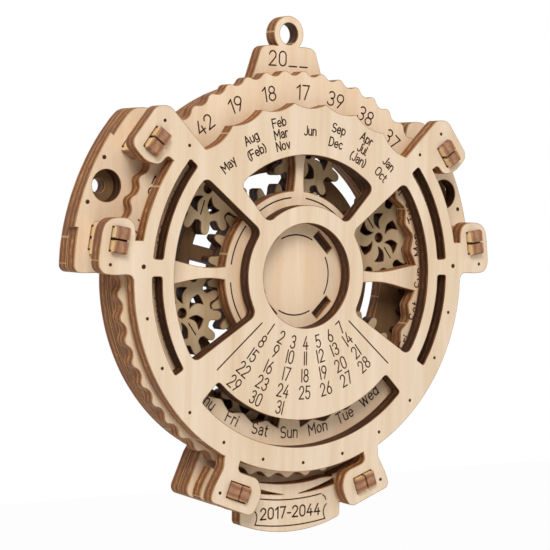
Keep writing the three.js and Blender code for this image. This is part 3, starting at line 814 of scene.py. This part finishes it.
class Wood(Finish):
    """Dry wood with a pattern of colours and a fine relief.

    The relief is the bump's strength and its depth in millimetres.
    """

    roughness: float
    relief: tuple
    specular: float = 0.2
    refraction: float = 1.5

    def pattern(self, tree: Tree) -> tuple[Socket, Sequence[tuple], Socket]:
        """Ground colour, the share and the colour of each layer over it, and the relief."""
        raise NotImplementedError

    def surface(self, tree: Tree) -> Socket:
        """Lays the layers of colour over each other, on the relief.

        Args:
            tree: the material's node tree.

        Returns:
            The shader.
        """
        colour, layers, height = self.pattern(tree)
        for share, over in layers:
            colour = add_node(tree, "Mix", share, more={6: colour, 7: linear(over)},
                              data_type="RGBA")[2]
        strength, depth = self.relief
        bump = add_node(tree, "Bump", more={
            "Height": height, "Strength": strength, "Distance": depth * MM})
        return add_node(tree, "BsdfPrincipled", more={
            "Base Color": colour, "Roughness": self.roughness, "IOR": self.refraction,
            "Specular IOR Level": self.specular, "Normal": bump[0]})[0]


@dataclass(frozen=True)
class BirchFace(Wood):
    """Sanded birch veneer of a plywood board.

    To the eye: matt and cream, with fine fibres, long slow bands of figure a few millimetres
    wide, short darker pores, and a thin scorched line along every laser cut. Sizes are a width
    across the fibres and a length along them, and a range is where a noise goes from its lowest
    to its full effect.
    """

    name: str
    pale: str
    deep: str
    pore: str
    scorch: str = "#8a5d3c"
    grain: Grain = Grain.UPRIGHT
    roughness: float = 0.62
    relief: tuple = (0.25, 0.04)
    band: tuple = (3.2, 45.0)
    fibre: tuple = (0.28, 7.0)
    dash: tuple = (0.22, 1.6)
    fibre_tone: float = 0.24
    pore_tone: float = 0.16
    figure_range: tuple = (0.3, 0.72)
    fibre_range: tuple = (0.35, 0.75)
    pore_range: tuple = (0.68, 0.82)
    scorch_falloff: float = 1.6

    def scale(self, size: tuple) -> tuple[float, float, float]:
        """Pattern repeats per metre, for a width and a length."""
        fine, coarse = (1 / (measure * MM) for measure in size)
        return (fine, coarse, fine) if self.grain is Grain.DEEP else (fine, fine, coarse)

    def pattern(self, tree: Tree) -> tuple[Socket, Sequence[tuple], Socket]:
        """Two scales of stretched noise for fibres and figure, sparse pores, scorched rims.

        Args:
            tree: the material's node tree.

        Returns:
            Ground colour, layers and relief.
        """
        place = add_node(tree, "TexCoord")["Object"]
        figure, fibre, pores = (
            add_node(tree, "TexNoise",
                     add_node(tree, "Mapping", place, more={"Scale": self.scale(size)})[0],
                     more={"Scale": 1.0} | detail)["Fac"]
            for size, detail in (
                (self.band, {"Detail": 3.0, "Roughness": 0.55, "Distortion": 0.4}),
                (self.fibre, {"Detail": 2.0, "Roughness": 0.6}),
                (self.dash, {"Detail": 0.0})))
        stops = tuple(zip(self.figure_range, (self.pale, self.deep)))
        wood = add_node(tree, "ValToRGB", figure, stops=stops)
        strands = add_node(tree, "MapRange", fibre, *self.fibre_range, 0.0, self.fibre_tone)
        spots = add_node(tree, "MapRange", pores, *self.pore_range, 0.0, self.pore_tone)
        char = add_node(tree, "Attribute", attribute_name="char")["Fac"]
        heat = add_node(tree, "Math", char, self.scorch_falloff, operation="POWER")
        layers = ((strands[0], self.deep), (spots[0], self.pore), (heat[0], self.scorch))
        return wood["Color"], layers, fibre


@dataclass(frozen=True)
class LaserCutEdge(Wood):
    """Wall of a laser cut through three-ply birch.

    To the eye: tan threads along both faces, then dark burnt bands, and a toasted core with
    golden flecks, purplish in places. Fine streaks left by the beam cross the thickness, and pale
    nicks show where the piece was held in its sheet. The lumps of a noise measure so many
    millimetres along the cut and through the board, and have so much detail. Nicks fade in from
    the first of their half widths to the second.
    """

    name: str
    thread: str = "#c8965f"
    band: str = "#70432a"
    toast: str = "#97633f"
    core: str = "#b17a48"
    fleck: str = "#dca768"
    dusk: str = "#865b44"
    nick: str = "#e2c496"
    roughness: float = 0.6
    relief: tuple = (0.5, 0.05)
    thickness: float = 3.0
    drift_lumps: tuple = (3.4, 2.0, 2.0)
    fleck_lumps: tuple = (1.5, 0.4, 3.0)
    streak_lumps: tuple = (0.16, 2.4, 3.0)
    dusk_lumps: tuple = (9.0, 12.0, 1.0)
    drift_range: tuple = (0.3, 0.7)
    fleck_range: tuple = (0.5, 0.66)
    streak_range: tuple = (0.45, 0.7)
    dusk_range: tuple = (0.45, 0.65)
    core_range: tuple = (0.24, 0.4)
    wander: float = 0.16
    fleck_tone: float = 0.7
    streak_tone: float = 0.42
    dusk_tone: float = 0.5
    nick_tone: float = 0.8
    nick_pitch: float = 23.0
    nick_halves: tuple = (0.275, 0.02)

    def pattern(self, tree: Tree) -> tuple[Socket, Sequence[tuple], Socket]:
        """Ramp over the depth, bent by noise along the cut, with flecks, streaks and nicks.

        Args:
            tree: the material's node tree.

        Returns:
            Ground colour, layers and relief.
        """
        run = add_node(tree, "UVMap", uv_map="cut")[0]
        parts = add_node(tree, "SeparateXYZ", run)
        drift, spots, beam, mood = (
            add_node(tree, "TexNoise",
                     add_node(tree, "Mapping", run, more={"Scale": (1 / along, 1 / deep, 1.0)})[0],
                     more={"Scale": 1.0, "Detail": detail}, noise_dimensions="2D")["Fac"]
            for along, deep, detail in (
                self.drift_lumps, self.fleck_lumps, self.streak_lumps, self.dusk_lumps))
        shift = add_node(tree, "MapRange", drift, *self.drift_range, -self.wander, self.wander)
        depth = add_node(tree, "Math", parts["Y"], shift[0], operation="ADD")
        share = add_node(tree, "MapRange", depth[0], 0.0, self.thickness, 0.0, 1.0)[0]
        plies = add_node(tree, "ValToRGB", share, stops=(
            (0.0, self.thread), (1.0, self.thread), (0.07, self.thread), (0.13, self.toast),
            (0.24, self.band), (0.38, self.toast), (0.5, self.core), (0.62, self.toast),
            (0.76, self.band), (0.87, self.toast), (0.93, self.thread)))
        middle = add_node(tree, "Math", share, 0.5, operation="PINGPONG")
        inside = add_node(tree, "MapRange", middle[0], *self.core_range, 0.0, 1.0)
        flecks = add_node(tree, "MapRange", spots, *self.fleck_range, 0.0, self.fleck_tone)
        golden = add_node(tree, "Math", inside[0], flecks[0], operation="MULTIPLY")
        streaks = add_node(tree, "MapRange", beam, *self.streak_range, 0.0, self.streak_tone)
        dusk = add_node(tree, "MapRange", mood, *self.dusk_range, 0.0, self.dusk_tone)
        beat = add_node(tree, "Math", parts["X"], self.nick_pitch, operation="PINGPONG")
        nicks = add_node(tree, "MapRange", beat[0], *self.nick_halves, 0.0, self.nick_tone)
        layers = ((golden[0], self.fleck), (streaks[0], self.band), (dusk[0], self.dusk),
                  (nicks[0], self.nick))
        return plies["Color"], layers, beam


@dataclass(frozen=True)
class LaserEngraving(Wood):
    """Line burnt into birch by a light pass of the laser.

    To the eye: near-black brown in the middle of the stroke, toasted and uneven at both rims.
    """

    name: str
    core: str = "#33211a"
    rim: str = "#7c5235"
    roughness: float = 0.8
    relief: tuple = (0.4, 0.03)
    grit_scale: float = 4200.0
    grit_range: tuple = (0.3, 0.7)
    rim_range: tuple = (0.35, 0.95)
    unevenness: float = 0.22

    def pattern(self, tree: Tree) -> tuple[Socket, Sequence[tuple], Socket]:
        """Ramp over the distance from the middle of the stroke, uneven along it.

        Args:
            tree: the material's node tree.

        Returns:
            Ground colour, no layers, and relief.
        """
        across = add_node(tree, "SeparateXYZ", add_node(tree, "UVMap", uv_map="cut")[0])["Y"]
        side = add_node(tree, "Math", across, operation="ABSOLUTE")
        grit = add_node(tree, "TexNoise", add_node(tree, "TexCoord")["Object"],
                        more={"Scale": self.grit_scale, "Detail": 2.0})["Fac"]
        uneven = add_node(tree, "MapRange", grit, *self.grit_range,
                          -self.unevenness, self.unevenness)
        share = add_node(tree, "Math", side[0], uneven[0], operation="ADD")
        stops = tuple(zip(self.rim_range, (self.core, self.rim)))
        tone = add_node(tree, "ValToRGB", share[0], stops=stops)
        return tone["Color"], (), grit


@dataclass(frozen=True)
class TurnedHardwood(Wood):
    """Small pins and keys of darker, close-grained wood with cut ends.

    To the eye: brown and dry, with pores as specks and soot where they were cut.
    """

    name: str
    pale: str = "#7d5838"
    deep: str = "#432c1c"
    roughness: float = 0.6
    relief: tuple = (0.3, 0.05)
    specular: float = 0.4
    grain_scale: tuple = (3600.0, 500.0, 3600.0)
    grain_range: tuple = (0.35, 0.68)

    def pattern(self, tree: Tree) -> tuple[Socket, Sequence[tuple], Socket]:
        """Short stretched noise along the depth, with specks.

        Args:
            tree: the material's node tree.

        Returns:
            Ground colour, no layers, and relief.
        """
        place = add_node(tree, "Mapping", add_node(tree, "TexCoord")["Object"],
                         more={"Scale": self.grain_scale})
        fibre = add_node(tree, "TexNoise", place[0], more={"Scale": 1.0, "Detail": 3.0})["Fac"]
        stops = tuple(zip(self.grain_range, (self.deep, self.pale)))
        tone = add_node(tree, "ValToRGB", fibre, stops=stops)
        return tone["Color"], (), fibre


@dataclass(frozen=True)
class PaperFloor(Finish):
    """White paper that looks nearly pure white and is pale as a surface under the lamps."""

    name: str = "white paper floor"
    paper: str = "#f2f0ec"
    glow: str = "#ffffff"
    whiteness: float = 0.97

    def surface(self, tree: Tree) -> Socket:
        """Matt paper, with its own white glow for rays that see it directly.

        Args:
            tree: the material's node tree.

        Returns:
            The shader.
        """
        paper = add_node(tree, "BsdfDiffuse", linear(self.paper))
        white = add_node(tree, "Emission", linear(self.glow), 1.0)
        share = add_node(tree, "Math", seen_directly(tree), self.whiteness, operation="MULTIPLY")
        return add_node(tree, "MixShader", share[0], paper[0], white[0])[0]


NO_NICKS = 400.0
BIRCH_DIAL = BirchFace("birch veneer, dial", "#efdbc3", "#e0c6a6", "#b99468")
BIRCH_WHEEL = BirchFace("birch veneer, year wheel", "#f4dec2", "#e9caa7", "#bd9568")
# Gear and hub veneer darker and greyer than the dial's: painted shade of the parts inside the
# calendar.
BIRCH_SHADED_GEAR = BirchFace("birch veneer, gears, painted shade", "#d8c1a0", "#bfa278", "#8f6a45")
# Dark brown veneer for the inward faces of the back plate and the carrier: painted shade of the
# inside of the calendar.
BIRCH_PAINTED_SHADE = BirchFace("birch veneer, painted shade of the inside", "#8d6c4c", "#745536", "#4a3322",
                         "#3f2819")
BIRCH_CLIP = BirchFace("birch veneer, clips", "#f8dcb0", "#e4bb83", "#93673b", "#7a4c2c",
                       grain=Grain.DEEP, roughness=0.45)
EDGE_BOARD = LaserCutEdge("laser-cut birch edge")
# Darker walls of the sun, the planets and the carrier: painted shade of the gear layer.
EDGE_SHADED_GEAR = LaserCutEdge("laser-cut birch edge, gear, painted shade", "#8a623e", "#3a2519", "#52352a",
                          "#67452f", "#8a6038", "#48332a", nick_pitch=NO_NICKS)
# Near-black walls of the openings in the dial, ring frame and planets: painted shade inside
# windows, slots and crescents.
EDGE_SHADED_OPENING = LaserCutEdge("laser-cut birch edge, painted shade in openings", "#8d5f38", "#341f14", "#4c2e1c",
                         "#5e3b22", "#835731", "#432b20", nick_pitch=NO_NICKS)
EDGE_CLIP = LaserCutEdge("laser-cut birch clip edge", "#c0915f", "#875c45", "#a0745a",
                         "#b08262", "#cc9c6a", "#8f6b5a", nick_pitch=NO_NICKS)
ENGRAVED = LaserEngraving("laser engraving in birch")
HARDWOOD = TurnedHardwood("hardwood pin stock")
SOOTED = TurnedHardwood("hardwood key, sooted", "#5a3d28", "#2e1d13")


def dress(node: str, finish: Finish) -> None:
    """Gives a CAD node that stays its finish.

    Args:
        node: CAD node.
        finish: its finish.
    """
    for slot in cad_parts[node].material_slots:
        slot.material = finish.material()
    log.info("%s: %s", node, finish.name)


# Sub-assemblies


@dataclass
class DialPlate:
    """Fixed front plate with months, dates and dots."""

    month_pitch: float = 2.32
    month_pair_pitch: float = 2.9
    month_radius: float = 28.9
    month_script: Script = Script(1.72, 1.0, 0.2, 0.37)
    date_rows: tuple = (13.5, 16.55, 20.0, 23.4, 26.75)
    date_pitch: float = 12.95
    date_script: Script = Script(2.5, 0.74, 0.2, 0.36, plain_one=True)
    rule_angles: tuple = (221.0, 319.0)
    rule_span: tuple = (14.1, 27.6)
    dot_radius: float = 37.5
    dot_size: float = 0.44
    dot_angles: tuple = (0.0, 15.0, 30.4, 45.8, 62.3, 77.8)
    axle_dot: tuple = (37.65, 1.9)
    axle_dot_size: float = 0.6
    tab_dots: tuple = ((33.58, 29.55), (28.04, 25.03), (44.8, 2.29), (19.63, -42.21))

    def build(self) -> None:
        """Builds the plate and its engraving."""
        Board("front_plate", "frame", "plywood_board", BIRCH_DIAL, EDGE_BOARD, EDGE_SHADED_OPENING).build()
        self.months()
        self.dates()
        self.marks()

    def months(self) -> None:
        """Month names, a column for each group that starts on the same weekday."""
        names = Engraving("month_names", "frame", DIAL_FACE_Y)
        for angle, column in MONTH_COLUMNS:
            pitch = self.month_pair_pitch if len(column) == 2 else self.month_pitch
            for row, name in enumerate(column):
                radius = self.month_radius + pitch * ((len(column) - 1) / 2 - row)
                names.write(self.month_script, name, radius, angle, Upward.OUTWARD)
        names.build()

    def dates(self) -> None:
        """Dates 1 to 31 in seven columns, between two ruled lines."""
        numbers = Engraving("date_numbers", "frame", DIAL_FACE_Y)
        for date in range(1, LAST_DATE + 1):
            row, column = divmod(date - 1, len(WEEKDAYS))
            angle = DOWN + (column - len(WEEKDAYS) // 2) * self.date_pitch
            numbers.write(self.date_script, str(date), self.date_rows[row], angle, Upward.INWARD)
        rules = [radial_path(self.rule_span, angle) for angle in self.rule_angles]
        numbers.add(rules, self.date_script.line)
        numbers.build()

    def marks(self) -> None:
        """Round burnt dots on the rim, counted from its lowest place, and on the tabs."""
        dots = Engraving("dial_dots", "frame", DIAL_FACE_Y)
        ring = polar(np.array(self.dot_angles))[:, ::-1] * (1, -1) * self.dot_radius
        dots.add_dots(ring, self.dot_size)
        dots.add_dots(self.tab_dots, self.dot_size)
        dots.add_dots([self.axle_dot], self.axle_dot_size)
        dots.build()


@dataclass
class RearFrame:
    """Two rear boards with the ring gear, the ears and the hanging eye."""

    eye_word_height: float = 43.6
    eye_script: Script = Script(2.9, 1.0, 0.28, 0.4)
    ear_dots: tuple = ((41.97, 22.46), (45.4, 13.9))
    ear_dot_size: float = 0.56

    def build(self) -> None:
        """Builds both boards and the engraving on the front one."""
        Board("ring_frame", "frame", "plywood_board", BIRCH_WHEEL, EDGE_BOARD, EDGE_SHADED_OPENING).build()
        # The back plate's front face is dark with painted shade; its rear is plain wheel veneer.
        Board("back_plate", "frame", "plywood_board", BIRCH_PAINTED_SHADE, EDGE_BOARD,
              rear=BIRCH_WHEEL).build()
        marks = Engraving("frame_marks", "frame", GEAR_FACE_Y)
        marks.write(self.eye_script, "20__", self.eye_word_height, UP, Upward.OUTWARD)
        marks.add_dots(self.ear_dots, self.ear_dot_size)
        marks.build()


@dataclass
class Plaque:
    """Small board under the dial with the span of years."""

    word_radius: float = 48.0
    script: Script = Script(2.2, 1.0, 0.26, 0.43)
    frame_line: float = 0.35
    frame_radii: tuple = (45.5, 50.8)
    frame_half_angles: tuple = (9.4, 9.75)
    curl: tuple = ((7.95, -45.15), (8.5, -45.55), (8.74, -46.1))
    bracket: tuple = ((8.9, -47.1), (8.42, -47.65), (8.17, -48.4), (8.24, -49.15), (8.6, -50.05))

    def build(self) -> None:
        """Builds the board and its engraving."""
        Board("plaque_plate", "frame", "plywood_board", BIRCH_DIAL, EDGE_BOARD).build()
        marks = Engraving("plaque_marks", "frame", WHEEL_FACE_Y)
        marks.write(self.script, "2017-2044", self.word_radius, DOWN, Upward.INWARD)
        rounds = [round_path(radius, -UP, half)
                  for radius, half in zip(self.frame_radii, self.frame_half_angles)]
        ends = [np.array(self.curl), np.array(self.bracket)]
        marks.add(rounds + ends + [end * (-1, 1) for end in ends], self.frame_line)
        marks.build()


@dataclass
class Clips:
    """Six board clips that reach through the tabs."""

    places: tuple = (("clip_left", 170.9), ("clip_right", 9.1), ("clip_upper_left", 144.2),
                     ("clip_upper_right", 35.8), ("clip_lower_left", 250.0),
                     ("clip_lower_right", 290.0))

    def build(self) -> None:
        """Builds each clip as a board whose faces look along the dial's radius."""
        for node, angle in self.places:
            cosine, sine = polar(angle).tolist()
            out, across = (cosine, 0.0, sine), (-sine, 0.0, cosine)
            axes = (across, tuple(np.cross(out, across).tolist()), out)
            Board(node, "frame", "plywood_clip", BIRCH_CLIP, EDGE_CLIP, axes=axes).build()


@dataclass
class YearWheel:
    """Turning wheel with years, weekdays and the hub."""

    rest_angle: float = -1.4
    year_radius: float = 36.75
    year_script: Script = Script(2.78, 1.0, 0.24, 0.4)
    weekday_radius: float = 31.8
    weekday_script: Script = Script(2.2, 1.0, 0.22, 0.36)
    hub_arc_radius: float = 15.6
    hub_arc_angles: tuple = (22, 68, 112, 158, 202, 248, 292, 338)
    hub_arc_half: float = 15
    disc_arc_radius: float = 8.1
    disc_arc_angles: tuple = (0, 90, 180, 270)
    disc_arc_half: float = 27
    arc_line: float = 0.38
    keys: int = 4

    def build(self) -> None:
        """Builds the wheel, its words and the finish of the parts joined to it."""
        Board("year_wheel", "wheel", "plywood_wheel", BIRCH_WHEEL, EDGE_BOARD).build()
        pitch = 360 / len(YEARS)
        years, days = (Engraving(name, "wheel", WHEEL_FACE_Y, "plywood_wheel")
                       for name in ("year_numbers", "weekday_names"))
        for number, year in enumerate(YEARS):
            years.write(self.year_script, str(year), self.year_radius,
                        UP + self.rest_angle - number * pitch, Upward.OUTWARD)
            days.write(self.weekday_script, WEEKDAYS[number % len(WEEKDAYS)], self.weekday_radius,
                       DOWN + self.rest_angle + number * pitch, Upward.INWARD)
        years.build()
        days.build()
        self.hub()

    def hub(self) -> None:
        """Thin engraved arcs on the hub disc, and the small parts of its stack."""
        arcs = Engraving("hub_arcs", "wheel", WHEEL_FACE_Y, "plywood_wheel")
        for radius, angles, half in (
                (self.hub_arc_radius, self.hub_arc_angles, self.hub_arc_half),
                (self.disc_arc_radius, self.disc_arc_angles, self.disc_arc_half)):
            arcs.add([round_path(radius, angle + self.rest_angle, half) for angle in angles],
                     self.arc_line)
        arcs.build()
        for node in ("hub_spacer", "hub_boss"):
            dress(node, BIRCH_SHADED_GEAR)
        for number in range(1, self.keys + 1):
            dress(f"hub_key_{number}", SOOTED)


@dataclass
class GearTrain:
    """Sun gear, six planets and the carrier that they turn on."""

    orbit: float = 25.2
    first_angle: float = 17.5
    mark_span: tuple = (2.6, 5.3)
    mark_angles: tuple = (126.8, 66.8, 72.2, 126.8, 126.8, 66.8)
    mark_line: float = 0.38

    def build(self) -> None:
        """Builds the gears and their marks, and gives the pins their finish."""
        Board("sun_gear", "wheel", "plywood_gear", BIRCH_SHADED_GEAR, EDGE_SHADED_GEAR).build()
        # The carrier's front face is dark with painted shade behind the gears; its walls carry the
        # gears' painted shade.
        Board("planet_carrier", "carrier", "plywood_gear", BIRCH_PAINTED_SHADE, EDGE_SHADED_GEAR,
              rear=BIRCH_SHADED_GEAR).build()
        pitch = 360 / len(self.mark_angles)
        for number, lean in enumerate(self.mark_angles, 1):
            body = f"planet_{number}"
            Board(f"planet_gear_{number}", body, "plywood_gear", BIRCH_SHADED_GEAR, EDGE_SHADED_GEAR,
                  EDGE_SHADED_OPENING).build()
            centre = self.orbit * polar(self.first_angle + pitch * (number - 1))
            mark = Engraving(f"planet_mark_{number}", body, GEAR_FACE_Y, "plywood_gear")
            mark.add([radial_path(self.mark_span, angle, centre) for angle in (lean, lean + 180)],
                     self.mark_line)
            mark.build()
            dress(f"planet_pin_{number}", HARDWOOD)


# Studio


@dataclass
class Studio:
    """Camera at the photograph's angle, white surroundings and soft lamps."""

    yaw: float = -34.19
    pitch: float = 2.24
    roll: float = 1.18
    place: tuple = (-208.917, -310.586, -34.49)
    lens: float = 118.8
    sensor: float = 36.0
    near: float = 10.0
    aim_y: float = -8.0
    floor_z: float = -260.0
    floor_half: float = 900.0
    white: str = "#ffffff"
    glow: str = "#fffcf8"
    glow_strength: float = 0.32
    lamps: tuple = (("key", (-0.5, -0.75, 0.6), 0.45, 8.0), ("fill", (0.7, -0.6, 0.2), 0.6, 1.5))

    def camera(self) -> None:
        """Camera that looks back along (sin yaw · cos pitch, -cos yaw · cos pitch, sin pitch)."""
        yaw, pitch, roll = np.radians([self.yaw, self.pitch, self.roll])
        back = np.array([np.sin(yaw) * np.cos(pitch), -np.cos(yaw) * np.cos(pitch), np.sin(pitch)])
        level = np.cross((0.0, 0.0, 1.0), back)
        level /= np.linalg.norm(level)
        upright = np.cross(back, level)
        right = level * np.cos(roll) + upright * np.sin(roll)
        up = upright * np.cos(roll) - level * np.sin(roll)
        data = bpy.data.cameras.new("camera")
        data.lens = self.lens
        data.sensor_width = self.sensor
        data.sensor_fit = "HORIZONTAL"
        data.clip_start = self.near * MM
        camera = bpy.data.objects.new("camera", data)
        turn = Matrix(np.stack([right, up, back], 1).tolist()).to_4x4()
        camera.matrix_world = Matrix.Translation(Vector(self.place) * MM) @ turn
        bpy.context.scene.collection.objects.link(camera)
        bpy.context.scene.camera = camera

    def lamp(self, name: str, place: tuple, size: float, power: float) -> None:
        """Square soft lamp that looks at the dial.

        Args:
            name: its name.
            place: where it stands, in metres.
            size: its side in metres.
            power: its power in watts.
        """
        data = bpy.data.lights.new(name, "AREA")
        data.shape, data.size, data.energy = "SQUARE", size, power
        lamp = bpy.data.objects.new(name, data)
        aim = Vector((0.0, self.aim_y, DIAL_AXIS_Z)) * MM - Vector(place)
        lamp.rotation_euler = aim.to_track_quat("-Z", "Y").to_euler()
        lamp.location = place
        bpy.context.scene.collection.objects.link(lamp)

    def world(self) -> None:
        """World that is white when seen and gentler as a light."""
        world = bpy.data.worlds.new("studio")
        bpy.context.scene.world = world
        world.use_nodes = True
        tree = world.node_tree
        tree.nodes.clear()
        glow, white = (add_node(tree, "Background", linear(colour), strength)[0]
                       for colour, strength in ((self.glow, self.glow_strength), (self.white, 1.0)))
        both = add_node(tree, "MixShader", seen_directly(tree), glow, white)
        add_node(tree, "OutputWorld", both[0])

    def floor(self) -> None:
        """Pale floor well below the hanging calendar, white to the camera."""
        half, z = self.floor_half, self.floor_z
        corners = np.array([(-half, -half, z), (half, -half, z), (half, half, z), (-half, half, z)])
        floor = new_object("floor", corners, np.array([[0, 1, 2, 3]]), (PaperFloor().material(),))

    def build(self) -> None:
        """Sets up everything round the object."""
        bpy.context.scene.view_settings.view_transform = "Standard"
        self.camera()
        self.world()
        self.floor()
        for lamp in self.lamps:
            self.lamp(*lamp)


def main() -> None:
    """Builds the studio and the sub-assemblies in order."""
    logging.basicConfig(level=logging.INFO, format="%(name)s: %(message)s")
    Studio().build()
    for part in (DialPlate(), RearFrame(), Plaque(), Clips(), YearWheel(), GearTrain()):
        part.build()
        log.info("%s done", type(part).__name__)


if __name__ == "__main__":
    main()
